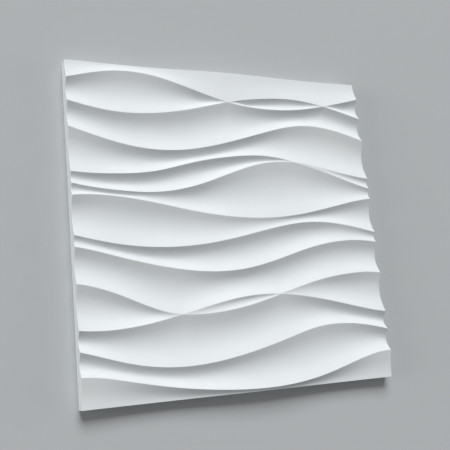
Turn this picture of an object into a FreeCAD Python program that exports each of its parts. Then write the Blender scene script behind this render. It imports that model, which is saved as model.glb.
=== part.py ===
import FreeCAD, Part
import itertools
import os

# Cast plaster wall tile, 500 by 500 mm. Its back is flat. Its face is a field of long scoops, which meet in
# sharp crest lines that wave across the tile. Some crest lines cross, and the scoop between two of them
# narrows to a point there. All crests reach one plane, and the pattern runs on into the next tile on all
# four sides.
#
# The tile lies on its back: X runs to the right along the lower edge of the face, Y runs up the face, and Z
# points out of it. The origin is the centre of the flat back.

# Overall sizes, mm
tile_width = 500.0
tile_height = 500.0
tile_thickness = 27.0

# Depth of the deepest scoops below the plane of the crests.
full_scoop_depth = 9.3

# Where its two crests cross, a scoop narrows to a tip. Its depth fades out over this length.
tip_length = 45.0

# Cross-section of a scoop, in shares of its width from crest to crest: a straight flank on either side, and
# between the flanks a parabola that runs smoothly into both and has its lowest point in the middle.
flank_share = 0.15
valley_place = 0.5

# The face of a scoop is laid in long strips: one for each flank, and this many between a flank and the
# valley. Where the crests are less than strip_end_spacing apart, the whole width is one face.
strips_to_valley = 4
strip_end_spacing = 6.0

# Crest lines, from the top of the face down. Each line has its height above the lower edge at equal steps
# from left to right, in hundredths of the tile's height, and the name of the line that it runs into at the
# left edge of the next tile.
crest_height_shares = {
    "first": ((94.0, 96.9, 96.8, 93.6, 89.9, 88.2, 88.6, 90.9), "first"),
    "second": ((86.9, 84.4, 84.4, 86.4, 89.5, 91.6, 92.1, 90.2), "second"),
    "third": ((79.0, 75.1, 73.0, 73.6, 76.4, 80.1, 83.0, 82.4), "third"),
    "fourth": ((65.6, 65.2, 66.3, 69.4, 71.6, 72.2, 69.9, 66.1), "fifth"),
    "fifth": ((62.2, 60.3, 59.9, 62.1, 66.5, 70.1, 70.2, 67.8), "fourth"),
    "sixth": ((58.7, 58.5, 56.5, 54.0, 52.4, 52.2, 53.7, 56.4), "sixth"),
    "seventh": ((47.2, 44.5, 43.4, 44.0, 46.1, 48.9, 50.7, 49.9), "seventh"),
    "eighth": ((43.9, 40.8, 37.8, 36.0, 36.2, 38.9, 42.5, 44.5), "eighth"),
    "ninth": ((33.6, 29.8, 24.7, 23.5, 25.0, 28.2, 31.7, 33.7), "ninth"),
    "tenth": ((20.9, 20.7, 22.6, 25.5, 27.9, 28.2, 26.4, 23.5), "tenth"),
    "eleventh": ((15.2, 11.4, 9.2, 9.4, 11.4, 14.5, 17.6, 17.7), "eleventh"),
    "twelfth": ((8.5, 6.5, 3.8, 1.9, 0.9, 1.1, 3.0, 6.4), "twelfth"),
}

# Depth of each scoop along its valley at the same steps, from the top of the face down, in hundredths of
# full_scoop_depth. The scoops are counted between neighbouring crests wherever these cross. The last scoop
# runs along the joint to the tile below: its valley lies on the edges of the two tiles, and each of them
# has half of it.
valley_depth_shares = (
    (90, 95, 95, 90, 70, 75, 50, 55),
    (100, 100, 100, 100, 100, 100, 100, 100),
    (100, 100, 100, 100, 100, 100, 100, 100),
    (45, 90, 100, 100, 95, 60, 5, 10),
    (45, 50, 40, 95, 100, 100, 100, 80),
    (100, 100, 100, 70, 50, 30, 45, 85),
    (45, 65, 100, 100, 100, 100, 95, 50),
    (100, 100, 100, 100, 100, 100, 100, 100),
    (100, 100, 30, 10, 30, 5, 35, 95),
    (100, 100, 100, 100, 100, 95, 100, 100),
    (100, 90, 90, 100, 100, 100, 100, 100),
    (80, 95, 100, 75, 45, 60, 90, 100),
)

# The curves have this many knots to a step.
knots_per_step = 2

# Crossings and the ends of strips are looked for in this many equal steps, then closed in on by halving.
search_steps = 200
halvings = 50

# Faces that share an edge are joined within this distance, mm.
sewing_distance = 0.001

# Two crests meet, and an edge lies in a side of the tile, where they are this near to each other, mm.
near_enough = 0.01


def smooth_curve(left, shares, right, whole):
    """A smooth curve through hundredths of the whole at equal steps, with X itself as its parameter.

    It runs on from the curve of the tile on the left and into that of the tile on the right.
    """
    step = tile_width / len(shares)
    points = []
    for number, share in enumerate(left + shares + right, start=-len(left)):
        points.append(FreeCAD.Vector(number * step, share / 100 * whole, 0))
    curve = Part.BSplineCurve()
    curve.interpolate(Points=points, Parameters=[point.x for point in points])
    curve.segment(0, tile_width)
    places = len(shares) * knots_per_step
    between = [place * tile_width / places for place in range(1, places) if place % knots_per_step]
    curve.insertKnots(between, [1] * len(between))
    return curve


def crest_curve(name):
    """The crest line of this name, seen from above."""
    shares, line_on_the_right = crest_height_shares[name]
    line_on_the_left = next(other for other, line in crest_height_shares.items() if line[1] == name)
    left = crest_height_shares[line_on_the_left][0]
    right = crest_height_shares[line_on_the_right][0]
    return smooth_curve(left, shares, right, tile_height)


def sign_changes(function, start, end):
    """Every place between start and end at which the function changes its sign."""
    places = [start + (end - start) * number / search_steps for number in range(search_steps + 1)]
    found = []
    for low, high in zip(places, places[1:]):
        if function(low) * function(high) < 0:
            for _ in range(halvings):
                middle = (low + high) / 2
                if function(low) * function(middle) <= 0:
                    high = middle
                else:
                    low = middle
            found.append((low + high) / 2)
    return found


def crossings(curves):
    """Every X at which two crest lines cross."""
    found = []
    for name, other in itertools.combinations(curves, 2):

        def lead(x):
            return curves[name].value(x).y - curves[other].value(x).y

        found += sign_changes(lead, 0.0, tile_width)
    return sorted(found)


def depth_curve(low, high, valley):
    """The depth of the scoop between two crest curves, which fades out where these meet."""
    places = low.getKnots()
    tips = [x for x in (places[0], places[-1]) if high.value(x).y - low.value(x).y < near_enough]

    def depth_at(x):
        share = min([1.0] + [abs(x - tip) / tip_length for tip in tips])
        return valley.value(x).y * (3 * share ** 2 - 2 * share ** 3)

    def slope_at(x):
        return FreeCAD.Vector(1, 0, 0) if x in tips else valley.getD1(x)[1]

    curve = Part.BSplineCurve()
    curve.interpolate(
        Points=[FreeCAD.Vector(x, depth_at(x), 0) for x in places],
        Parameters=places,
        InitialTangent=slope_at(places[0]),
        FinalTangent=slope_at(places[-1]),
    )
    return curve


def scoop_surface(low, high, depths):
    """The smooth surface of a scoop between two crest curves.

    Its first parameter is X, and its second one is the share across.
    """
    peak = 2 / (1 + 2 * flank_share)
    section = (
        (0.0, 0.0),
        (flank_share / 2, flank_share * peak),
        (valley_place, peak),
        (1 - flank_share / 2, flank_share * peak),
        (1.0, 0.0),
    )
    rows = []
    for low_pole, high_pole, depth_pole in zip(low.getPoles(), high.getPoles(), depths.getPoles()):
        row = []
        for across, share in section:
            y = low_pole.y * (1 - across) + high_pole.y * across
            row.append(FreeCAD.Vector(low_pole.x, y, tile_thickness - share * depth_pole.y))
        rows.append(row)
    surface = Part.BSplineSurface()
    surface.buildFromPolesMultsKnots(
        rows,
        low.getMultiplicities(),
        [3, 1, 1, 3],
        low.getKnots(),
        [0.0, flank_share, 1 - flank_share, 1.0],
        False,
        False,
        low.Degree,
        2,
    )
    return surface


def scoop_faces(low, high, depths, nearest, farthest):
    """The strips of the scoop between two crest curves, from one share across to another."""
    surface = scoop_surface(low, high, depths)

    def room_at(x):
        return high.value(x).y - low.value(x).y - strip_end_spacing

    start = low.FirstParameter
    end = low.LastParameter
    along = [start] + sign_changes(room_at, start, end) + [end]
    strip_share = (valley_place - flank_share) / strips_to_valley
    below_valley = [flank_share + number * strip_share for number in range(strips_to_valley)]
    cuts = below_valley + [valley_place] + [1 - cut for cut in reversed(below_valley)]
    inner_cuts = [cut for cut in cuts if nearest < cut < farthest]
    faces = []
    for left, right in zip(along, along[1:]):
        across = [nearest] + inner_cuts + [farthest]
        if room_at((left + right) / 2) < 0:
            across = [nearest, farthest]
        for near, far in zip(across, across[1:]):
            strip = surface.copy()
            strip.segment(left, right, near, far)
            faces.append(strip.toShape())
    return faces


def stretches(lower_names, upper_names, stops):
    """The stretches of X over which a scoop keeps the same two crest lines."""
    found = []
    for lower, upper, start, end in zip(lower_names, upper_names, stops, stops[1:]):
        if found and found[-1][:2] == (lower, upper):
            found[-1] = (lower, upper, found[-1][2], end)
        else:
            found.append((lower, upper, start, end))
    return found


def piece_of(curve, start, end):
    """The piece of a curve from one X to another."""
    piece = curve.copy()
    piece.segment(start, end)
    return piece


def mirrored(curve, edge_y):
    """The mirror image of a curve in the upper or lower edge of the tile."""
    image = curve.copy()
    image.mirror(FreeCAD.Vector(0, edge_y, 0), FreeCAD.Vector(1, 0, 0))
    return image


def relief_faces(curves, valleys):
    """All scoops of the face. Of the one that runs along the joint, each of the two edges has half."""
    lines = dict(curves)
    for name, curve in curves.items():
        lines[name + " above"] = mirrored(curve, tile_height)
        lines[name + " below"] = mirrored(curve, 0.0)
    stops = [0.0] + crossings(curves) + [tile_width]
    orders = []
    for start, end in zip(stops, stops[1:]):
        middle = (start + end) / 2
        order = sorted(curves, key=lambda name: -curves[name].value(middle).y)
        orders.append([order[0] + " above"] + order + [order[-1] + " below"])
    scoops = [(valleys[-1], 0.0, valley_place)]
    scoops += [(valley, 0.0, 1.0) for valley in valleys[:-1]]
    scoops += [(valleys[-1], valley_place, 1.0)]
    faces = []
    for number, (valley, nearest, farthest) in enumerate(scoops):
        upper_names = [order[number] for order in orders]
        lower_names = [order[number + 1] for order in orders]
        for lower, upper, start, end in stretches(lower_names, upper_names, stops):
            low = piece_of(lines[lower], start, end)
            high = piece_of(lines[upper], start, end)
            faces += scoop_faces(low, high, depth_curve(low, high, valley), nearest, farthest)
    return faces


def open_edges(faces):
    """The faces joined into a skin, and the edges that only one of them has."""
    skin = Part.makeCompound(faces)
    skin.sewShape(sewing_distance)
    owners = {}
    for face in skin.Faces:
        for edge in face.Edges:
            if not edge.Degenerated:
                owners.setdefault(edge.hashCode(), []).append(edge)
    return skin, [edges[0] for edges in owners.values() if len(edges) == 1]


def side_face(rim, start, end):
    """The plain side from one foot corner to the next, up to the edges of the relief that lie in it."""
    outward = (end - start).cross(FreeCAD.Vector(0, 0, 1))
    profile = [
        edge for edge in rim
        if all(abs(vertex.Point.distanceToPlane(start, outward)) < near_enough for vertex in edge.Vertexes)
    ]
    tops = [vertex.Point for edge in profile for vertex in edge.Vertexes]
    start_top = min(tops, key=lambda point: point.distanceToPoint(start))
    end_top = min(tops, key=lambda point: point.distanceToPoint(end))
    straights = [Part.makeLine(start, end), Part.makeLine(start, start_top), Part.makeLine(end, end_top)]
    return Part.Face(Part.Wire(Part.__sortEdges__(profile + straights)))


def wall_panel():
    """The tile: its relief, four plain sides and the flat back, joined into one solid."""
    curves = {name: crest_curve(name) for name in crest_height_shares}
    valleys = [smooth_curve(shares, shares, shares, full_scoop_depth) for shares in valley_depth_shares]
    relief, rim = open_edges(relief_faces(curves, valleys))
    corners = [
        FreeCAD.Vector(0, 0, 0),
        FreeCAD.Vector(tile_width, 0, 0),
        FreeCAD.Vector(tile_width, tile_height, 0),
        FreeCAD.Vector(0, tile_height, 0),
    ]
    faces = relief.Faces + [Part.Face(Part.makePolygon(corners + corners[:1]))]
    for start, end in zip(corners, corners[1:] + corners[:1]):
        faces.append(side_face(rim, start, end))
    skin = Part.makeCompound(faces)
    skin.sewShape(sewing_distance)
    solid = Part.makeSolid(skin.Shells[0])
    if solid.Volume < 0:
        solid.reverse()
    solid.translate(FreeCAD.Vector(-tile_width / 2, -tile_height / 2, 0))
    return solid


def main():
    os.makedirs("parts", exist_ok=True)
    panel = wall_panel()
    panel.exportStep("parts/wall_panel.step")
    print("valid", panel.isValid(), "faces", len(panel.Faces), "volume", round(panel.Volume))


main()
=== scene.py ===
import logging
import math
from collections.abc import Callable, Sequence
from dataclasses import dataclass, field
from enum import Enum

import bmesh
import bpy
import numpy as np
from mathutils import Matrix, Vector


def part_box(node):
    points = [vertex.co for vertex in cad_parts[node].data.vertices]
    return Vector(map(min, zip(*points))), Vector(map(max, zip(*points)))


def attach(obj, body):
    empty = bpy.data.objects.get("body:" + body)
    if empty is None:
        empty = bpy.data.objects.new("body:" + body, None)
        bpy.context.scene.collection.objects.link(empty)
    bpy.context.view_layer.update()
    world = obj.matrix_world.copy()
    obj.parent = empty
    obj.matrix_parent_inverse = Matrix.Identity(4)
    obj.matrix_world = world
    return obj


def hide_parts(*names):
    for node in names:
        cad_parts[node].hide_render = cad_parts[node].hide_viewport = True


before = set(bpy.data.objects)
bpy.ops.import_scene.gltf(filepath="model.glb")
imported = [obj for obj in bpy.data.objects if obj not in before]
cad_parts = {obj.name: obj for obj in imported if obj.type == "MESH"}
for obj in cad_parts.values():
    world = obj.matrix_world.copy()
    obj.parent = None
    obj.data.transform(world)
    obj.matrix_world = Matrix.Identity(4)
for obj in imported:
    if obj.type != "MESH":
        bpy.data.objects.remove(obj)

# The scene shows a cast plaster wall tile that lies on its flat back. X runs to the right along the lower
# edge of its face, Y runs up the face and Z points out of it. Lengths are in metres.

MM = 0.001
LOG = logging.getLogger("wall_tile")


class CadName(Enum):
    """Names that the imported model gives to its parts."""

    BODY = "root"
    NODE = "wall_panel"
    SLOT = "plaster"


class TileSurface(Enum):
    """The tile's surfaces that have a finish of their own, by their place in its list of materials."""

    FACE = 0
    BACK = 1


class Sum(Enum):
    """Sums that a Math node can do."""

    ADD = "ADD"
    SUBTRACT = "SUBTRACT"
    MULTIPLY = "MULTIPLY"
    DIVIDE = "DIVIDE"
    ABSOLUTE = "ABSOLUTE"
    MINIMUM = "MINIMUM"
    MAXIMUM = "MAXIMUM"
    LESS_THAN = "LESS_THAN"


# Form of the face


@dataclass(frozen=True)
class CrestLine:
    """One crest line of the face.

    Attributes:
        name: What the line is called, counted from the top of the face.
        heights: Its height above the lower edge at equal steps to the right, in hundredths of the tile.
        runs_into: The line that it joins at the left edge of the next tile.
    """

    name: str
    heights: tuple[float, ...]
    runs_into: str


CREST_LINES = (
    CrestLine("first", (94.0, 96.9, 96.8, 93.6, 89.9, 88.2, 88.6, 90.9), "first"),
    CrestLine("second", (86.9, 84.4, 84.4, 86.4, 89.5, 91.6, 92.1, 90.2), "second"),
    CrestLine("third", (79.0, 75.1, 73.0, 73.6, 76.4, 80.1, 83.0, 82.4), "third"),
    CrestLine("fourth", (65.6, 65.2, 66.3, 69.4, 71.6, 72.2, 69.9, 66.1), "fifth"),
    CrestLine("fifth", (62.2, 60.3, 59.9, 62.1, 66.5, 70.1, 70.2, 67.8), "fourth"),
    CrestLine("sixth", (58.7, 58.5, 56.5, 54.0, 52.4, 52.2, 53.7, 56.4), "sixth"),
    CrestLine("seventh", (47.2, 44.5, 43.4, 44.0, 46.1, 48.9, 50.7, 49.9), "seventh"),
    CrestLine("eighth", (43.9, 40.8, 37.8, 36.0, 36.2, 38.9, 42.5, 44.5), "eighth"),
    CrestLine("ninth", (33.6, 29.8, 24.7, 23.5, 25.0, 28.2, 31.7, 33.7), "ninth"),
    CrestLine("tenth", (20.9, 20.7, 22.6, 25.5, 27.9, 28.2, 26.4, 23.5), "tenth"),
    CrestLine("eleventh", (15.2, 11.4, 9.2, 9.4, 11.4, 14.5, 17.6, 17.7), "eleventh"),
    CrestLine("twelfth", (8.5, 6.5, 3.8, 1.9, 0.9, 1.1, 3.0, 6.4), "twelfth"),
)

# Depth of each scoop along its valley at the same steps, in hundredths of the full depth, from the top of
# the face down. Crests are counted afresh beyond a crossing, so the third scoop lies between the third
# crest and the fourth at every place. The last scoop runs along the joint to the tile below. Its valley
# lies on the edges of both tiles, and each of them has half of it.
VALLEY_DEPTHS = (
    (90, 95, 95, 90, 70, 75, 50, 55),
    (100, 100, 100, 100, 100, 100, 100, 100),
    (100, 100, 100, 100, 100, 100, 100, 100),
    (45, 90, 100, 100, 95, 60, 5, 10),
    (45, 50, 40, 95, 100, 100, 100, 80),
    (100, 100, 100, 70, 50, 30, 45, 85),
    (45, 65, 100, 100, 100, 100, 95, 50),
    (100, 100, 100, 100, 100, 100, 100, 100),
    (100, 100, 30, 10, 30, 5, 35, 95),
    (100, 100, 100, 100, 100, 95, 100, 100),
    (100, 90, 90, 100, 100, 100, 100, 100),
    (80, 95, 100, 75, 45, 60, 90, 100),
)


@dataclass(frozen=True)
class SmoothCurve:
    """A natural cubic spline through points at equal steps.

    Attributes:
        start: Where the first point is.
        step: How far apart the points are.
        values: The curve's value at each point.
    """

    start: float
    step: float
    values: tuple[float, ...]

    def bends(self) -> np.ndarray:
        """Works out how much the curve bends at each of its points.

        Returns:
            The second derivative at each point, nothing at either end.
        """
        values = np.array(self.values)
        inner = len(values) - 2
        matrix = 4 * np.eye(inner) + np.eye(inner, k=1) + np.eye(inner, k=-1)
        turns = 6 * (values[:-2] - 2 * values[1:-1] + values[2:]) / self.step**2
        return np.concatenate([[0.0], np.linalg.solve(matrix, turns), [0.0]])

    def at(self, x: np.ndarray) -> np.ndarray:
        """Gives the curve's value at each place.

        Args:
            x: The places.

        Returns:
            One value for each place.
        """
        values = np.array(self.values)
        bends = self.bends()
        along = (x - self.start) / self.step
        number = np.clip(np.floor(along).astype(int), 0, len(values) - 2)
        after = along - number
        before = 1 - after
        straight = before * values[number] + after * values[number + 1]
        bowed = (before**3 - before) * bends[number] + (after**3 - after) * bends[number + 1]
        return straight + bowed * self.step**2 / 6


@dataclass
class WavePattern:
    """The relief of the face: scoops between crest lines that wave across the tile and sometimes cross.

    Attributes:
        width: Width of the tile.
        height: Height of the tile.
        lines: The crest lines, from the top of the face down.
        valleys: Depths of the scoops, from the top of the face down, with the scoop along the joint last.
        full_depth: The depth that the depths are hundredths of.
        tip_length: Length over which a scoop's depth fades out towards a crossing of its two crests.
        flank_share: Share of a scoop's width that each of its two straight flanks takes.
        search_steps: Steps in which crossings are looked for.
        halvings: How many times such a step is halved to close in on a crossing.
        crests: Each crest line as a curve, in the order of the lines.
        depths: Each scoop's depth as a curve, in the order of the valleys.
    """

    width: float
    height: float
    lines: tuple[CrestLine, ...] = CREST_LINES
    valleys: tuple[tuple[float, ...], ...] = VALLEY_DEPTHS
    full_depth: float = 9.3 * MM
    tip_length: float = 45.0 * MM
    flank_share: float = 0.15
    search_steps: int = 200
    halvings: int = 40
    crests: list[SmoothCurve] = field(init=False)
    depths: list[SmoothCurve] = field(init=False)

    def __post_init__(self) -> None:
        """Lays smooth curves through the crest lines and the depths, on into the tiles on either side."""
        by_name = {line.name: line for line in self.lines}
        before = {line.runs_into: line for line in self.lines}
        self.crests = []
        for line in self.lines:
            chain = (before[line.name].heights, line.heights, by_name[line.runs_into].heights)
            self.crests.append(self.curve(chain, self.height))
        self.depths = [self.curve((shares, shares, shares), self.full_depth) for shares in self.valleys]

    def curve(self, tiles: Sequence[tuple[float, ...]], whole: float) -> SmoothCurve:
        """Lays a smooth curve over this tile and the ones on its left and right.

        Args:
            tiles: Hundredths of the whole at equal steps, for each of the three tiles from the left.
            whole: What they are hundredths of.

        Returns:
            The curve.
        """
        step = self.width / len(tiles[0])
        values = tuple(share / 100 * whole for hundredths in tiles for share in hundredths)
        return SmoothCurve(-self.width, step, values)

    def levels(self, x: np.ndarray) -> np.ndarray:
        """Gives the heights of the crest lines, sorted from the lowest up at each place.

        Args:
            x: Places along the tile, from its left edge.

        Returns:
            One row for each crest, one column for each place.
        """
        return np.sort([curve.at(x) for curve in self.crests], axis=0)

    def crossings(self) -> list[float]:
        """Finds where crest lines cross.

        Returns:
            The places along the tile, in order.
        """
        x = np.linspace(0, self.width, self.search_steps + 1)
        found = []
        for number, curve in enumerate(self.crests):
            for other in self.crests[number + 1:]:
                lead = curve.at(x) - other.at(x)
                turns = lead[:-1] * lead[1:] < 0
                for low, high in zip(x[:-1][turns], x[1:][turns]):
                    found.append(self.meeting(curve, other, low, high))
        return sorted(found)

    def meeting(self, curve: SmoothCurve, other: SmoothCurve, low: float, high: float) -> float:
        """Closes in on the place at which two curves cross.

        Args:
            curve: One curve.
            other: The other curve.
            low: A place before the crossing.
            high: A place after it.

        Returns:
            The place of the crossing.
        """
        ahead_at_low = curve.at(np.array(low)) > other.at(np.array(low))
        for _ in range(self.halvings):
            middle = (low + high) / 2
            if (curve.at(np.array(middle)) > other.at(np.array(middle))) == ahead_at_low:
                low = middle
            else:
                high = middle
        return (low + high) / 2

    def joint_depth(self, x: np.ndarray) -> np.ndarray:
        """Gives the depth of the scoop along the joint, whose valley lies on the tile's edge.

        Args:
            x: Places along the tile, from its left edge.

        Returns:
            One depth for each place.
        """
        return self.depths[-1].at(x)

    def scoop_depths(self, x: np.ndarray) -> np.ndarray:
        """Gives the depths of the scoops between two crests, faded out towards the crossings.

        Args:
            x: Places along the tile, from its left edge.

        Returns:
            One row for each scoop, from the lowest up, and one column for each place.
        """
        depths = np.array([curve.at(x) for curve in reversed(self.depths[:-1])])
        for crossing in self.crossings():
            scoop = int(np.argmin(np.diff(self.levels(np.array([crossing])), axis=0)))
            share = np.minimum(np.abs(x - crossing) / self.tip_length, 1)
            depths[scoop] *= 3 * share**2 - 2 * share**3
        return depths

    def section(self, across: np.ndarray) -> np.ndarray:
        """Gives the shape of a scoop's cross-section, two straight flanks and a parabola that joins them.

        Args:
            across: Places across the scoop, 0 at its lower crest and 1 at its upper one.

        Returns:
            The share of the full depth at each place.
        """
        flank = self.flank_share
        slope = 4 / (1 + 2 * flank)
        from_crest = np.minimum(across, 1 - across)
        from_middle = 0.5 - from_crest
        bottom = 1 - slope * from_middle**2 / (1 - 2 * flank)
        return np.where(from_crest < flank, slope * from_crest, bottom)

    def half_section(self, from_valley: np.ndarray) -> np.ndarray:
        """Gives the shape of the half of a scoop that rises from its valley to a crest.

        Args:
            from_valley: Places across that half, 0 in the valley and 1 at the crest.

        Returns:
            The share of the full depth at each place.
        """
        return self.section((1 + from_valley) / 2)


@dataclass
class WallTile:
    """The cast tile: its waved face, four plain sides and a flat back, as one closed mesh.

    Attributes:
        pattern: The relief of the face.
        thickness: Thickness of the tile at its crests.
        crest_softness: How much a crest is rounded over.
        arris_radius: Radius of the small rounding along the tile's outer edges.
        column_spacing: Length of the mesh's faces along the scoops.
        crossing_clearance: Distance from a crossing within which no other column lies.
        crest_rows: Distances from a crest at which the rows beside it lie.
        crest_rows_spacing: Spacing of two crests below which those distances shrink.
        rows_across: Rows of faces across the rest of a scoop.
        rows_to_edge: Rows of faces between the outermost crest and the edge of the tile.
        arris_steps: Steps in which an arris turns.
        wall_rows: Rows of faces up a side.
        merge_distance: Distance within which points of the mesh are taken as one.
        shortest_edge: Length below which an edge of the mesh is taken out.
    """

    pattern: WavePattern
    thickness: float
    crest_softness: float = 0.12 * MM
    arris_radius: float = 0.4 * MM
    column_spacing: float = 2.5 * MM
    crossing_clearance: float = 0.625 * MM
    crest_rows: tuple[float, ...] = (0.12 * MM, 0.35 * MM, 0.9 * MM)
    crest_rows_spacing: float = 20.0 * MM
    rows_across: int = 14
    rows_to_edge: int = 8
    arris_steps: int = 4
    wall_rows: int = 4
    merge_distance: float = 0.001 * MM
    shortest_edge: float = 0.0001 * MM

    def arris_places(self) -> np.ndarray:
        """Gives the distances from an outer edge of the rows along its arris, the edge itself first."""
        turn = np.linspace(math.pi / 2, 0, self.arris_steps + 1)
        return self.arris_radius * (1 - np.sin(turn))

    def columns(self) -> np.ndarray:
        """Places the columns of the mesh.

        Returns:
            Places from the left edge to the right one, with each crossing among them.
        """
        arris = self.arris_places()
        width = self.pattern.width
        count = round(width / self.column_spacing)
        even = np.linspace(arris[-1], width - arris[-1], count + 1)
        crossings = np.array(self.pattern.crossings())
        nearest = np.abs(even[:, None] - crossings).min(axis=1)
        even = even[nearest > self.crossing_clearance]
        return np.sort(np.concatenate([arris[:-1], even, crossings, width - arris[:-1]]))

    def scoop_rows(self, lower: np.ndarray, upper: np.ndarray) -> list[np.ndarray]:
        """Places the rows of the mesh between two crests.

        Args:
            lower: Height of the lower crest in each column.
            upper: Height of the upper crest in each column.

        Returns:
            The height of each row in each column, the lower crest first and the upper one left out.
        """
        spacing = upper - lower
        squeeze = np.minimum(1, spacing / self.crest_rows_spacing)
        fringe = [near * squeeze for near in (0.0, *self.crest_rows)]
        first = lower + fringe[-1]
        last = upper - fringe[-1]
        steps = range(1, self.rows_across)
        middle = [first + (last - first) * row / self.rows_across for row in steps]
        below = [lower + near for near in fringe]
        above = [upper - near for near in reversed(fringe[1:])]
        return below + middle + above

    def edge_rows(self, crest: np.ndarray) -> list[np.ndarray]:
        """Places the rows of the mesh between the edge of the tile and the crest nearest to it.

        Args:
            crest: Distance of the crest from the edge in each column.

        Returns:
            The distance of each row from the edge in each column, without the crest itself.
        """
        arris = self.arris_places()
        last = crest - self.crest_rows[-1]
        steps = range(1, self.rows_to_edge)
        between = [arris[-1] + (last - arris[-1]) * row / self.rows_to_edge for row in steps]
        fringe = [crest - near for near in reversed(self.crest_rows)]
        return [np.full_like(crest, place) for place in arris] + between + fringe

    def face_grid(self) -> np.ndarray:
        """Works out the face as a grid of points.

        Returns:
            An array of rows by columns by three coordinates, from the tile's lower left corner.
        """
        pattern = self.pattern
        x = self.columns()
        crests = pattern.levels(x)
        joint = pattern.joint_depth(x)
        to_top = pattern.height - crests[-1]
        heights = self.edge_rows(crests[0])
        depths = [joint * pattern.half_section(row / crests[0]) for row in heights]
        for lower, upper, depth in zip(crests, crests[1:], pattern.scoop_depths(x)):
            rows = self.scoop_rows(lower, upper)
            across = (np.array(rows) - lower) / np.maximum(upper - lower, self.merge_distance)
            heights += rows
            depths += list(depth * pattern.section(np.clip(across, 0, 1)))
        last = [to_top] + self.edge_rows(to_top)[::-1]
        heights += [pattern.height - row for row in last]
        depths += [joint * pattern.half_section(row / to_top) for row in last]
        y = np.array(heights)
        depth = np.hypot(depths, self.crest_softness) - self.crest_softness
        grid = np.dstack([np.broadcast_to(x, y.shape), y, self.thickness - depth])
        return self.with_arrises(grid)

    def inner(self, points: np.ndarray) -> np.ndarray:
        """Gives the nearest point to each one that is an arris radius or more inside all four sides.

        Args:
            points: Points in plan.

        Returns:
            The nearest points, in plan.
        """
        far = np.array([self.pattern.width, self.pattern.height]) - self.arris_radius
        return np.clip(points[..., :2], self.arris_radius, far)

    def with_arrises(self, grid: np.ndarray) -> np.ndarray:
        """Rounds the outer edges of the face over, and its corners in plan.

        Args:
            grid: The points of the face, with square edges.

        Returns:
            The points with rounded edges.
        """
        inner = self.inner(grid)
        beyond = grid[..., :2] - inner
        reach = np.abs(beyond).max(axis=2)
        length = np.hypot(beyond[..., 0], beyond[..., 1])
        pull = np.divide(reach, length, out=np.ones_like(reach), where=length > 0)
        plan = inner + beyond * pull[..., None]
        drop = self.arris_radius - np.sqrt(np.maximum(self.arris_radius**2 - reach**2, 0))
        return np.dstack([plan, grid[..., 2] - drop])

    def side_rings(self, rim: np.ndarray) -> list[np.ndarray]:
        """Works out the sides of the tile, ring by ring from the face down to the back.

        Args:
            rim: The outermost points of the face, in order round the tile.

        Returns:
            The rings below the rim. The last one is the outline of the flat back.
        """
        rings = []
        for row in range(1, self.wall_rows + 1):
            ring = rim.copy()
            ring[:, 2] += (self.arris_radius - rim[:, 2]) * row / self.wall_rows
            rings.append(ring)
        inner = self.inner(rim)
        for step in range(1, self.arris_steps + 1):
            turn = math.pi / 2 * step / self.arris_steps
            plan = inner + (rim[:, :2] - inner) * math.cos(turn)
            height = np.full((len(rim), 1), self.arris_radius * (1 - math.sin(turn)))
            rings.append(np.hstack([plan, height]))
        return rings

    def build(self, lowest_corner: Vector) -> bpy.types.Object:
        """Makes the tile's mesh.

        Args:
            lowest_corner: Where the tile's lower left corner is, on the floor.

        Returns:
            The tile, with the faces of its back marked for a finish of their own.
        """
        grid = self.face_grid()
        rows, columns = grid.shape[:2]
        number = np.arange(rows * columns).reshape(rows, columns)
        around = np.concatenate([number[0, :-1], number[:-1, -1], number[-1, :0:-1], number[:0:-1, 0]])
        points = grid.reshape(-1, 3)
        rings = self.side_rings(points[around])
        faces = quads(number[:-1, :-1], number[:-1, 1:], number[1:, 1:], number[1:, :-1])
        upper = around
        for position, ring in enumerate(rings):
            lower = len(points) + np.arange(len(ring)) + position * len(ring)
            faces += quads(upper, lower, np.roll(lower, -1), np.roll(upper, -1))
            upper = lower
        back = upper[::-1].tolist()
        vertices = np.vstack([points, *rings]) + np.array(lowest_corner)
        mesh = bpy.data.meshes.new("plaster_tile")
        mesh.from_pydata(vertices.tolist(), [], faces + [back])
        mesh.polygons[-1].material_index = TileSurface.BACK.value
        self.close(mesh)
        tile = bpy.data.objects.new("plaster_tile", mesh)
        bpy.context.scene.collection.objects.link(tile)
        even_shading = tile.modifiers.new("even_shading", "WEIGHTED_NORMAL")
        even_shading.keep_sharp = True
        return tile

    def close(self, mesh: bpy.types.Mesh) -> None:
        """Merges the points that meet where crests cross and at the corners, and smooths the shading.

        Args:
            mesh: The tile's mesh.

        Raises:
            ValueError: If the mesh isn't closed.
        """
        work = bmesh.new()
        work.from_mesh(mesh)
        bmesh.ops.remove_doubles(work, verts=work.verts, dist=self.merge_distance)
        bmesh.ops.dissolve_degenerate(work, edges=work.edges, dist=self.shortest_edge)
        for face in work.faces:
            face.smooth = True
        open_edges = sum(len(edge.link_faces) != 2 for edge in work.edges)
        work.to_mesh(mesh)
        work.free()
        if open_edges:
            raise ValueError(f"the tile has {open_edges} open edges")

    def dress(self, tile: bpy.types.Object, finishes: "dict[TileSurface, PlasterFinish]") -> None:
        """Gives the tile its finishes.

        Args:
            tile: The tile.
            finishes: The finish of each of the tile's surfaces.
        """
        half_width = self.pattern.width / 2
        half_height = self.pattern.height / 2
        for surface in TileSurface:
            material = finishes[surface].material(half_width, half_height, self.thickness)
            tile.data.materials.append(material)


def quads(*corners: np.ndarray) -> list[list[int]]:
    """Pairs up four arrays of point numbers as faces.

    Args:
        corners: The four corners of the faces, in order round each face.

    Returns:
        The four point numbers of each face.
    """
    return np.stack([corner.ravel() for corner in corners], axis=1).tolist()


# Effects that the finishes share


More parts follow.
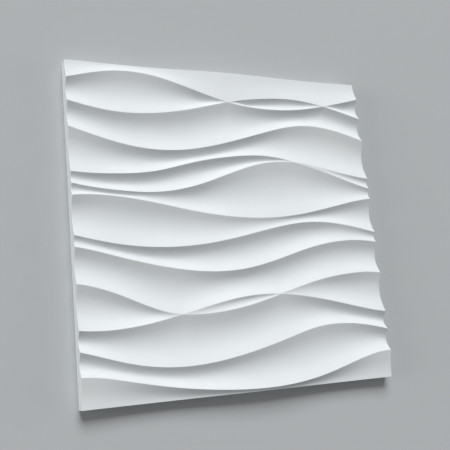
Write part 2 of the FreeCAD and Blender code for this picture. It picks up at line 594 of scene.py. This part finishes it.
@dataclass(frozen=True)
class NoiseLayers:
    """How finer noise is laid over a broad one.

    Attributes:
        count: How many finer layers there are.
        strength: How strong they are.
    """

    count: float
    strength: float


@dataclass
class NodeBench:
    """A node tree that nodes are added to and joined up in.

    Attributes:
        tree: The node tree.
    """

    tree: bpy.types.NodeTree

    def add(self, kind: str, **sockets: object) -> bpy.types.Node:
        """Adds a node.

        Args:
            kind: The node's type.
            sockets: Inputs by name, with underscores for spaces. Each is a value or a socket to link.

        Returns:
            The new node.
        """
        node = self.tree.nodes.new(kind)
        for name, value in sockets.items():
            self.feed(node.inputs[name.replace("_", " ")], value)
        return node

    def feed(self, target: bpy.types.NodeSocket, value: object) -> None:
        """Links a socket to an input, or sets the input to a plain value.

        Args:
            target: The input.
            value: The socket or the plain value.
        """
        if isinstance(value, bpy.types.NodeSocket):
            self.tree.links.new(value, target)
        else:
            target.default_value = value

    def calc(self, sum_kind: Sum, first: object, second: object = 0.0) -> bpy.types.NodeSocket:
        """Adds a Math node.

        Args:
            sum_kind: The sum that it does.
            first: Its first value or socket.
            second: Its second value or socket.

        Returns:
            The result.
        """
        node = self.tree.nodes.new("ShaderNodeMath")
        node.operation = sum_kind.value
        self.feed(node.inputs[0], first)
        self.feed(node.inputs[1], second)
        return node.outputs[0]

    def fade(self, value: object, start: object, end: object) -> bpy.types.NodeSocket:
        """Adds a smooth step from 0 to 1.

        Args:
            value: The value that is looked at.
            start: Where the step is still 0.
            end: Where it is 1.

        Returns:
            The step.
        """
        node = self.tree.nodes.new("ShaderNodeMapRange")
        node.interpolation_type = "SMOOTHSTEP"
        self.feed(node.inputs["Value"], value)
        self.feed(node.inputs["From Min"], start)
        self.feed(node.inputs["From Max"], end)
        return node.outputs["Result"]

    def noise(self, position: object, scale: object, layers: NoiseLayers) -> bpy.types.NodeSocket:
        """Adds a Noise Texture.

        Args:
            position: Where it is sampled.
            scale: How many times it varies in a metre.
            layers: Its finer layers.

        Returns:
            The noise, from 0 to 1.
        """
        node = self.add(
            "ShaderNodeTexNoise",
            Vector=position,
            Scale=scale,
            Detail=layers.count,
            Roughness=layers.strength,
        )
        return node.outputs["Fac"]

    def mix(self, share: object, first: object, second: object) -> bpy.types.NodeSocket:
        """Mixes two colours.

        Args:
            share: The share of the second colour.
            first: The first colour.
            second: The second colour.

        Returns:
            The mixed colour.
        """
        node = self.tree.nodes.new("ShaderNodeMix")
        node.data_type = "RGBA"
        by_name = {socket.identifier: socket for socket in node.inputs}
        self.feed(by_name["Factor_Float"], share)
        self.feed(by_name["A_Color"], first)
        self.feed(by_name["B_Color"], second)
        return next(socket for socket in node.outputs if socket.identifier == "Result_Color")

    def effect(self, group: bpy.types.NodeTree, **sockets: object) -> bpy.types.Node:
        """Places a node group.

        Args:
            group: The node group.
            sockets: Its inputs by name, with underscores for spaces.

        Returns:
            The placed group.
        """
        node = self.tree.nodes.new("ShaderNodeGroup")
        node.node_tree = group
        for name, value in sockets.items():
            self.feed(node.inputs[name.replace("_", " ")], value)
        return node


class Socket(Enum):
    """Kinds of socket that an effect has."""

    VECTOR = "NodeSocketVector"
    VALUE = "NodeSocketFloat"
    COLOUR = "NodeSocketColor"


@dataclass(frozen=True)
class Effect:
    """A surface effect that several finishes use, kept as one node group.

    Attributes:
        name: The name of the node group.
        inputs: The kind of each named input.
        outputs: The kind of each named output.
        make: Adds the effect's nodes, from the bench and the node with the inputs, and gives the outputs.
    """

    name: str
    inputs: dict[str, Socket]
    outputs: dict[str, Socket]
    make: Callable[[NodeBench, bpy.types.Node], dict[str, bpy.types.NodeSocket]]

    def group(self) -> bpy.types.NodeTree:
        """Gives the effect's node group, built the first time that it is asked for.

        Returns:
            The node group.
        """
        known = bpy.data.node_groups.get(self.name)
        if known is not None:
            return known
        tree = bpy.data.node_groups.new(self.name, "ShaderNodeTree")
        for name, kind in self.inputs.items():
            tree.interface.new_socket(name, in_out="INPUT", socket_type=kind.value)
        for name, kind in self.outputs.items():
            tree.interface.new_socket(name, in_out="OUTPUT", socket_type=kind.value)
        bench = NodeBench(tree)
        start = bench.add("NodeGroupInput")
        end = bench.add("NodeGroupOutput")
        for name, socket in self.make(bench, start).items():
            bench.feed(end.inputs[name], socket)
        return tree


# The middle of a noise's values, and the layers of each noise
NOISE_MIDDLE = 0.5
GRAIN_LAYERS = NoiseLayers(3.0, 0.6)
RIPPLE_LAYERS = NoiseLayers(2.0, 0.4)
DRYING_LAYERS = NoiseLayers(4.0, 0.55)
RUBBED_LAYERS = NoiseLayers(2.0, 0.6)
SCREED_LAYERS = NoiseLayers(4.0, 0.6)

# The smallest pinhole as a share of the largest, and a pinhole's floor and depth as shares of its radius
SMALLEST_PIT = 0.4
PIT_FLOOR = 0.4
PIT_DEPTH = 0.7

# Between these values of the noise, plaster goes from dry to damp
DRYING_TURN = (0.3, 0.75)

# Rubbed patches in a metre, and the values of the noise between which plaster turns from plain to rubbed
RUBBED_PATCHES = 180.0
RUBBED_TURN = (0.35, 0.6)

# A normal's upward part, between these values, tells the sides from the face and the back
UPWARD_TURN = (0.1, 0.5)

# Angle of the straightedge's ridges to the tile's X, and how much finer they are across than along
SCREED_ANGLE = 0.12
SCREED_STRETCH = (0.06, 1.0, 1.0)


def make_grain(bench: NodeBench, start: bpy.types.Node) -> dict[str, bpy.types.NodeSocket]:
    """Fine grain of set plaster over faint ripples.

    Args:
        bench: The group's nodes.
        start: The node with the group's inputs.

    Returns:
        The height in metres and the grain itself, from 0 to 1.
    """
    position = start.outputs["Position"]
    grain_scale = bench.calc(Sum.DIVIDE, 1.0, start.outputs["Grain Size"])
    ripple_scale = bench.calc(Sum.DIVIDE, 1.0, start.outputs["Ripple Size"])
    grain = bench.noise(position, grain_scale, GRAIN_LAYERS)
    ripple = bench.noise(position, ripple_scale, RIPPLE_LAYERS)
    fine = bench.calc(Sum.MULTIPLY, grain, start.outputs["Grain Depth"])
    broad = bench.calc(Sum.MULTIPLY, ripple, start.outputs["Ripple Depth"])
    return {"Height": bench.calc(Sum.ADD, fine, broad), "Grain": grain}


def make_pits(bench: NodeBench, start: bpy.types.Node) -> dict[str, bpy.types.NodeSocket]:
    """Pinholes that air bubbles leave in a casting.

    Args:
        bench: The group's nodes.
        start: The node with the group's inputs.

    Returns:
        The height in metres and a mask of the pinholes, where the finish paints shade.
    """
    scale = bench.calc(Sum.DIVIDE, 1.0, start.outputs["Pit Spacing"])
    cells = bench.add(
        "ShaderNodeTexVoronoi", Vector=start.outputs["Position"], Scale=scale, Randomness=1.0
    )
    distance = bench.calc(Sum.MULTIPLY, cells.outputs["Distance"], start.outputs["Pit Spacing"])
    chance = bench.add("ShaderNodeSeparateColor", Color=cells.outputs["Color"])
    chosen = bench.calc(Sum.LESS_THAN, chance.outputs["Red"], start.outputs["Pit Share"])
    spread = bench.calc(Sum.MULTIPLY, chance.outputs["Green"], 1 - SMALLEST_PIT)
    size = bench.calc(Sum.ADD, spread, SMALLEST_PIT)
    radius = bench.calc(Sum.MULTIPLY, size, start.outputs["Pit Radius"])
    floor = bench.calc(Sum.MULTIPLY, radius, PIT_FLOOR)
    hole = bench.calc(Sum.MULTIPLY, bench.fade(distance, radius, floor), chosen)
    depth = bench.calc(Sum.MULTIPLY, bench.calc(Sum.MULTIPLY, hole, radius), -PIT_DEPTH)
    return {"Height": depth, "Mask": hole}


def make_tone_drift(bench: NodeBench, start: bpy.types.Node) -> dict[str, bpy.types.NodeSocket]:
    """Slow change of tone over a casting that dried unevenly.

    Args:
        bench: The group's nodes.
        start: The node with the group's inputs.

    Returns:
        The colour.
    """
    scale = bench.calc(Sum.DIVIDE, 1.0, start.outputs["Patch Size"])
    cloud = bench.noise(start.outputs["Position"], scale, DRYING_LAYERS)
    share = bench.fade(cloud, *DRYING_TURN)
    return {"Color": bench.mix(share, start.outputs["Dry Color"], start.outputs["Damp Color"])}


def make_edge_wear(bench: NodeBench, start: bpy.types.Node) -> dict[str, bpy.types.NodeSocket]:
    """Rubbed plaster along the tile's outer arrises, and along the crests, which are sanded last.

    Args:
        bench: The group's nodes.
        start: The node with the group's inputs.

    Returns:
        A mask of the rubbed arrises and a mask of the sanded crests.
    """
    position = start.outputs["Position"]
    parts = bench.add("ShaderNodeSeparateXYZ", Vector=position)
    from_side = bench.calc(
        Sum.SUBTRACT, start.outputs["Half Width"], bench.calc(Sum.ABSOLUTE, parts.outputs["X"])
    )
    from_end = bench.calc(
        Sum.SUBTRACT, start.outputs["Half Height"], bench.calc(Sum.ABSOLUTE, parts.outputs["Y"])
    )
    inward = bench.calc(Sum.MINIMUM, from_side, from_end)
    facing = bench.add("ShaderNodeSeparateXYZ", Vector=start.outputs["Normal"])
    upward = bench.fade(bench.calc(Sum.ABSOLUTE, facing.outputs["Z"]), *UPWARD_TURN)
    patchy = bench.fade(bench.noise(position, RUBBED_PATCHES, RUBBED_LAYERS), *RUBBED_TURN)
    near = bench.fade(inward, start.outputs["Wear Width"], 0.0)
    worn = bench.calc(Sum.MULTIPLY, bench.calc(Sum.MULTIPLY, near, upward), patchy)
    below_top = bench.calc(Sum.SUBTRACT, start.outputs["Top"], parts.outputs["Z"])
    crest = bench.calc(Sum.MULTIPLY, bench.fade(below_top, start.outputs["Crest Band"], 0.0), patchy)
    return {"Arris": worn, "Crest": crest}


def make_screed(bench: NodeBench, start: bpy.types.Node) -> dict[str, bpy.types.NodeSocket]:
    """Ridges that the straightedge leaves when the back of the mould is levelled.

    Args:
        bench: The group's nodes.
        start: The node with the group's inputs.

    Returns:
        The height in metres.
    """
    stretched = bench.add(
        "ShaderNodeMapping",
        Vector=start.outputs["Position"],
        Rotation=(0.0, 0.0, SCREED_ANGLE),
        Scale=SCREED_STRETCH,
    )
    scale = bench.calc(Sum.DIVIDE, 1.0, start.outputs["Ridge Spacing"])
    ridges = bench.noise(stretched.outputs["Vector"], scale, SCREED_LAYERS)
    return {"Height": bench.calc(Sum.MULTIPLY, ridges, start.outputs["Ridge Depth"])}


GRAIN = Effect(
    "plaster_grain",
    {
        "Position": Socket.VECTOR,
        "Grain Size": Socket.VALUE,
        "Grain Depth": Socket.VALUE,
        "Ripple Size": Socket.VALUE,
        "Ripple Depth": Socket.VALUE,
    },
    {"Height": Socket.VALUE, "Grain": Socket.VALUE},
    make_grain,
)
PITS = Effect(
    "casting_pinholes",
    {
        "Position": Socket.VECTOR,
        "Pit Spacing": Socket.VALUE,
        "Pit Radius": Socket.VALUE,
        "Pit Share": Socket.VALUE,
    },
    {"Height": Socket.VALUE, "Mask": Socket.VALUE},
    make_pits,
)
TONE_DRIFT = Effect(
    "drying_tone",
    {
        "Position": Socket.VECTOR,
        "Patch Size": Socket.VALUE,
        "Dry Color": Socket.COLOUR,
        "Damp Color": Socket.COLOUR,
    },
    {"Color": Socket.COLOUR},
    make_tone_drift,
)
EDGE_WEAR = Effect(
    "rubbed_edges",
    {
        "Position": Socket.VECTOR,
        "Normal": Socket.VECTOR,
        "Half Width": Socket.VALUE,
        "Half Height": Socket.VALUE,
        "Top": Socket.VALUE,
        "Wear Width": Socket.VALUE,
        "Crest Band": Socket.VALUE,
    },
    {"Arris": Socket.VALUE, "Crest": Socket.VALUE},
    make_edge_wear,
)
SCREED = Effect(
    "screed_ridges",
    {"Position": Socket.VECTOR, "Ridge Spacing": Socket.VALUE, "Ridge Depth": Socket.VALUE},
    {"Height": Socket.VALUE},
    make_screed,
)


# Finishes


@dataclass(frozen=True)
class PlasterFinish:
    """A finish of set white plaster. Colours are linear red, green and blue.

    Attributes:
        name: The name of the material.
        dry_colour: Colour of the plaster where it dried first.
        damp_colour: Colour where it dried last.
        rubbed_colour: Colour of rubbed arrises and sanded crests.
        pit_shade_colour: Painted shade inside a pinhole, a darker colour that stands in for the shade in
            the hole.
        roughness: Roughness of the plain surface.
        roughness_spread: How much the roughness changes with the grain.
        rubbed_smoothness: How much less rough rubbed plaster is.
        reflection: Strength of the reflection.
        grain_size: Size of the grain.
        grain_depth: Height of the grain.
        ripple_size: Size of the faint ripples.
        ripple_depth: Height of the ripples.
        pit_spacing: Spacing of the places where a pinhole can be.
        pit_radius: Radius of the largest pinhole.
        pit_share: Share of those places that have one.
        ridge_depth: Height of the ridges left by the straightedge, or nothing on a moulded surface.
        ridge_spacing: Spacing of the ridges.
        patch_size: Size of the patches of tone.
        wear_width: Width of the rubbed band along an arris.
        crest_band: Depth below the crests to which they are sanded.
    """

    name: str
    dry_colour: tuple[float, float, float] = (0.795, 0.83, 0.843)
    damp_colour: tuple[float, float, float] = (0.77, 0.808, 0.824)
    rubbed_colour: tuple[float, float, float] = (0.82, 0.85, 0.86)
    # Painted shade: the inside of each pinhole is darkened to this colour.
    pit_shade_colour: tuple[float, float, float] = (0.56, 0.59, 0.6)
    roughness: float = 0.82
    roughness_spread: float = 0.12
    rubbed_smoothness: float = 0.1
    reflection: float = 0.3
    grain_size: float = 0.7 * MM
    grain_depth: float = 0.02 * MM
    ripple_size: float = 16.0 * MM
    ripple_depth: float = 0.05 * MM
    pit_spacing: float = 9.0 * MM
    pit_radius: float = 0.45 * MM
    pit_share: float = 0.12
    ridge_depth: float = 0.0
    ridge_spacing: float = 6.0 * MM
    patch_size: float = 70.0 * MM
    wear_width: float = 1.2 * MM
    crest_band: float = 0.5 * MM

    def material(self, half_width: float, half_height: float, top: float) -> bpy.types.Material:
        """Makes the material.

        Args:
            half_width: Half the width of the tile.
            half_height: Half the height of the tile.
            top: Height of the crests above the back.

        Returns:
            The material.
        """
        material = bpy.data.materials.new(self.name)
        material.use_nodes = True
        material.node_tree.nodes.clear()
        bench = NodeBench(material.node_tree)
        position = bench.add("ShaderNodeTexCoord").outputs["Object"]
        normal = bench.add("ShaderNodeNewGeometry").outputs["Normal"]
        grain = bench.effect(
            GRAIN.group(),
            Position=position,
            Grain_Size=self.grain_size,
            Grain_Depth=self.grain_depth,
            Ripple_Size=self.ripple_size,
            Ripple_Depth=self.ripple_depth,
        )
        pits = bench.effect(
            PITS.group(),
            Position=position,
            Pit_Spacing=self.pit_spacing,
            Pit_Radius=self.pit_radius,
            Pit_Share=self.pit_share,
        )
        tone = bench.effect(
            TONE_DRIFT.group(),
            Position=position,
            Patch_Size=self.patch_size,
            Dry_Color=(*self.dry_colour, 1.0),
            Damp_Color=(*self.damp_colour, 1.0),
        )
        wear = bench.effect(
            EDGE_WEAR.group(),
            Position=position,
            Normal=normal,
            Half_Width=half_width,
            Half_Height=half_height,
            Top=top,
            Wear_Width=self.wear_width,
            Crest_Band=self.crest_band,
        )
        rubbed = bench.calc(Sum.MAXIMUM, wear.outputs["Arris"], wear.outputs["Crest"])
        colour = bench.mix(rubbed, tone.outputs["Color"], (*self.rubbed_colour, 1.0))
        # Painted shade: the pinholes are darkened to the pit colour, standing in for the shade inside
        # them.
        colour = bench.mix(pits.outputs["Mask"], colour, (*self.pit_shade_colour, 1.0))
        height = bench.calc(Sum.ADD, grain.outputs["Height"], pits.outputs["Height"])
        if self.ridge_depth:
            screed = bench.effect(
                SCREED.group(),
                Position=position,
                Ridge_Spacing=self.ridge_spacing,
                Ridge_Depth=self.ridge_depth,
            )
            height = bench.calc(Sum.ADD, height, screed.outputs["Height"])
        around_middle = bench.calc(Sum.SUBTRACT, grain.outputs["Grain"], NOISE_MIDDLE)
        uneven = bench.calc(Sum.MULTIPLY, around_middle, self.roughness_spread)
        smoother = bench.calc(Sum.MULTIPLY, rubbed, self.rubbed_smoothness)
        roughness = bench.calc(Sum.ADD, self.roughness, bench.calc(Sum.SUBTRACT, uneven, smoother))
        bump = bench.add("ShaderNodeBump", Strength=1.0, Distance=1.0, Height=height)
        shader = bench.add(
            "ShaderNodeBsdfPrincipled",
            Base_Color=colour,
            Roughness=roughness,
            Normal=bump.outputs["Normal"],
            Specular_IOR_Level=self.reflection,
        )
        bench.add("ShaderNodeOutputMaterial", Surface=shader.outputs["BSDF"])
        return material


MOULDED_FACE = PlasterFinish("moulded_face")
SCREEDED_BACK = PlasterFinish(
    "screeded_back",
    dry_colour=(0.8, 0.825, 0.835),
    damp_colour=(0.76, 0.79, 0.8),
    roughness=0.9,
    grain_size=1.6 * MM,
    grain_depth=0.12 * MM,
    ripple_depth=0.15 * MM,
    pit_radius=0.9 * MM,
    pit_share=0.35,
    ridge_depth=0.35 * MM,
)


# Studio


@dataclass(frozen=True)
class Backdrop:
    """A plain pale floor.

    Attributes:
        colour: Linear colour of the floor.
        roughness: Roughness of the floor.
        reflection: Strength of its reflection.
        half_size: Half the length of its sides.
        gap: How far below the tile's back it lies.
    """

    colour: tuple[float, float, float] = (0.5, 0.52, 0.53)
    roughness: float = 0.9
    reflection: float = 0.1
    half_size: float = 30.0
    gap: float = 0.1 * MM

    def build(self, level: float) -> bpy.types.Object:
        """Lays the floor.

        Args:
            level: Height of the surface that the tile rests on.

        Returns:
            The floor.
        """
        far = self.half_size
        height = level - self.gap
        corners = [(-far, -far, height), (far, -far, height), (far, far, height), (-far, far, height)]
        mesh = bpy.data.meshes.new("floor")
        mesh.from_pydata(corners, [], [(0, 1, 2, 3)])
        floor = bpy.data.objects.new("floor", mesh)
        bpy.context.scene.collection.objects.link(floor)
        material = bpy.data.materials.new("floor_paint")
        material.use_nodes = True
        shader = material.node_tree.nodes["Principled BSDF"]
        shader.inputs["Base Color"].default_value = (*self.colour, 1.0)
        shader.inputs["Roughness"].default_value = self.roughness
        shader.inputs["Specular IOR Level"].default_value = self.reflection
        mesh.materials.append(material)
        return floor


@dataclass(frozen=True)
class SoftLamp:
    """A square studio lamp that points at the tile.

    Attributes:
        name: The name of the lamp.
        direction: Where it stands, seen from the tile.
        distance: How far away it is.
        size: Length of its sides.
        level: Light that it gives a surface that faces it, where 1 shows a colour as it is written.
    """

    name: str
    direction: tuple[float, float, float]
    distance: float
    size: float
    level: float

    def build(self, target: Vector) -> bpy.types.Object:
        """Places the lamp.

        Args:
            target: What it points at.

        Returns:
            The lamp.
        """
        light = bpy.data.lights.new(self.name, "AREA")
        light.shape = "SQUARE"
        light.size = self.size
        light.energy = self.level * math.pi**2 * self.distance**2
        lamp = bpy.data.objects.new(self.name, light)
        toward = Vector(self.direction).normalized()
        lamp.location = target + toward * self.distance
        lamp.rotation_euler = toward.to_track_quat("Z", "Y").to_euler()
        bpy.context.scene.collection.objects.link(lamp)
        return lamp


@dataclass(frozen=True)
class Surroundings:
    """Even light from all round, with a pale backdrop where the camera sees it.

    Attributes:
        light: Level of the light.
        backdrop: Linear colour that the camera and reflections see.
    """

    light: float = 0.14
    backdrop: tuple[float, float, float] = (0.5, 0.52, 0.53)

    def build(self) -> bpy.types.World:
        """Makes the world.

        Returns:
            The world.
        """
        world = bpy.data.worlds.new("studio_air")
        world.use_nodes = True
        world.node_tree.nodes.clear()
        bench = NodeBench(world.node_tree)
        rays = bench.add("ShaderNodeLightPath")
        seen = bench.calc(Sum.MAXIMUM, rays.outputs["Is Camera Ray"], rays.outputs["Is Glossy Ray"])
        seen = bench.calc(Sum.MAXIMUM, seen, rays.outputs["Is Transmission Ray"])
        plain = bench.add("ShaderNodeBackground", Color=(1.0, 1.0, 1.0, 1.0), Strength=self.light)
        shown = bench.add("ShaderNodeBackground", Color=(*self.backdrop, 1.0), Strength=1.0)
        mixed = bench.tree.nodes.new("ShaderNodeMixShader")
        bench.feed(mixed.inputs[0], seen)
        bench.feed(mixed.inputs[1], plain.outputs["Background"])
        bench.feed(mixed.inputs[2], shown.outputs["Background"])
        bench.add("ShaderNodeOutputWorld", Surface=mixed.outputs["Shader"])
        bpy.context.scene.world = world
        return world


@dataclass(frozen=True)
class Viewpoint:
    """The camera, which looks down on the tile.

    Attributes:
        place: Where the camera stands.
        aim: The point that it looks at.
        turn: How far the top of the picture is turned from the tile's Y towards X, in degrees.
        lens: Focal length of the lens, in millimetres.
        sensor: Width of the sensor, in millimetres.
        nearest: Distance from which on things are in view.
    """

    place: tuple[float, float, float] = (-0.4561, -0.2140, 0.9803)
    aim: tuple[float, float, float] = (-0.0090, 0.0051, 0.0)
    turn: float = 5.82
    lens: float = 56.58
    sensor: float = 36.0
    nearest: float = 0.01

    def build(self) -> bpy.types.Object:
        """Places the camera and makes it the scene's own.

        Returns:
            The camera.
        """
        data = bpy.data.cameras.new("camera")
        data.lens = self.lens
        data.sensor_width = self.sensor
        data.clip_start = self.nearest
        camera = bpy.data.objects.new("camera", data)
        turn = math.radians(self.turn)
        back = (Vector(self.place) - Vector(self.aim)).normalized()
        right = Vector((math.sin(turn), math.cos(turn), 0.0)).cross(back).normalized()
        up = back.cross(right)
        axes = Matrix((right, up, back)).transposed().to_4x4()
        camera.matrix_world = Matrix.Translation(self.place) @ axes
        bpy.context.scene.collection.objects.link(camera)
        bpy.context.scene.camera = camera
        return camera


@dataclass
class Studio:
    """Floor, light and camera.

    Attributes:
        backdrop: The floor.
        lamps: The lamps.
        surroundings: The even light.
        viewpoint: The camera.
    """

    backdrop: Backdrop = Backdrop()
    lamps: tuple[SoftLamp, ...] = (
        SoftLamp("key_lamp", (-0.05, 0.735, 0.676), distance=30.0, size=16.0, level=0.92),
        SoftLamp("left_fill", (-0.98, 0.0, 0.2), distance=12.0, size=6.0, level=0.4),
        SoftLamp("right_fill", (0.98, 0.0, 0.2), distance=12.0, size=6.0, level=0.2),
    )
    surroundings: Surroundings = Surroundings()
    viewpoint: Viewpoint = Viewpoint()

    def build(self, target: Vector, level: float) -> None:
        """Sets up the studio.

        Args:
            target: What the lamps point at.
            level: Height of the surface that the tile rests on.
        """
        self.backdrop.build(level)
        for lamp in self.lamps:
            lamp.build(target)
        self.surroundings.build()
        self.viewpoint.build()
        bpy.context.scene.view_settings.view_transform = "Standard"


def main() -> None:
    """Builds the tile to the size of the imported part, and sets up the studio."""
    logging.basicConfig(level=logging.INFO, format="%(name)s: %(message)s")
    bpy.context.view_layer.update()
    lowest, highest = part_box(CadName.NODE.value)
    size = highest - lowest
    tile = WallTile(pattern=WavePattern(width=size.x, height=size.y), thickness=size.z)
    piece = tile.build(lowest)
    tile.dress(piece, {TileSurface.FACE: MOULDED_FACE, TileSurface.BACK: SCREEDED_BACK})
    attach(piece, CadName.BODY.value)
    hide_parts(CadName.NODE.value)
    LOG.info("%s has %d faces", piece.name, len(piece.data.polygons))
    Studio().build(target=(lowest + highest) / 2, level=lowest.z)
    LOG.info("the studio is set up")


if __name__ == "__main__":
    main()
